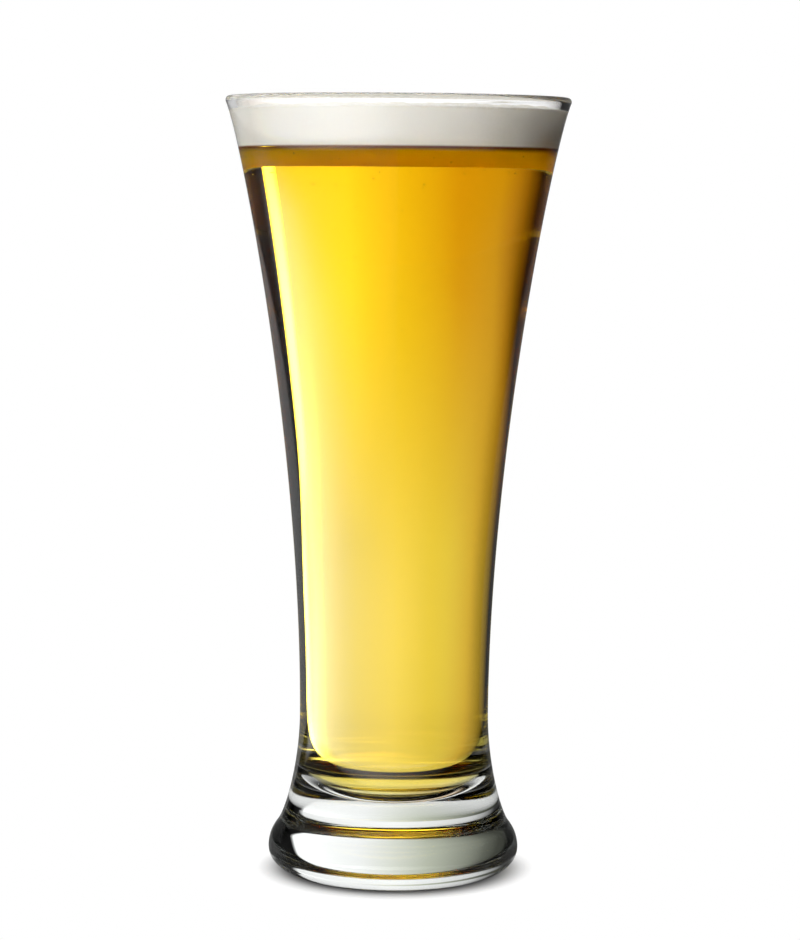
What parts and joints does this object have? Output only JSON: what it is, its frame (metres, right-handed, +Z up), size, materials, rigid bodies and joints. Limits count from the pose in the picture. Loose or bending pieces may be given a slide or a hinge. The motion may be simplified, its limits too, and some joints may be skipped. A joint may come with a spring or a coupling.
{
  "type": "beer flute",
  "caption": "Tall waisted drinking glass with a flared bowl and a heavy solid foot, filled with pale lager under a white head of foam.",
  "frame": {"origin": "on the axis of the glass, in the plane of the ring that it stands on", "axes": "+Z up along the axis of the glass, from the foot to the rim; X and Y are alike, because the glass is turned about Z"},
  "size_m": [0.0838, 0.0838, 0.19],
  "materials": {
    "soda_lime_glass": "clear, fire-polished",
    "lager": "clear golden liquid",
    "beer_foam": "matt, fine-bubbled"
  },
  "bodies": {
    "root": {"flute_glass": "soda_lime_glass", "beer": "lager", "foam_head": "beer_foam"}
  },
  "joints": []
}
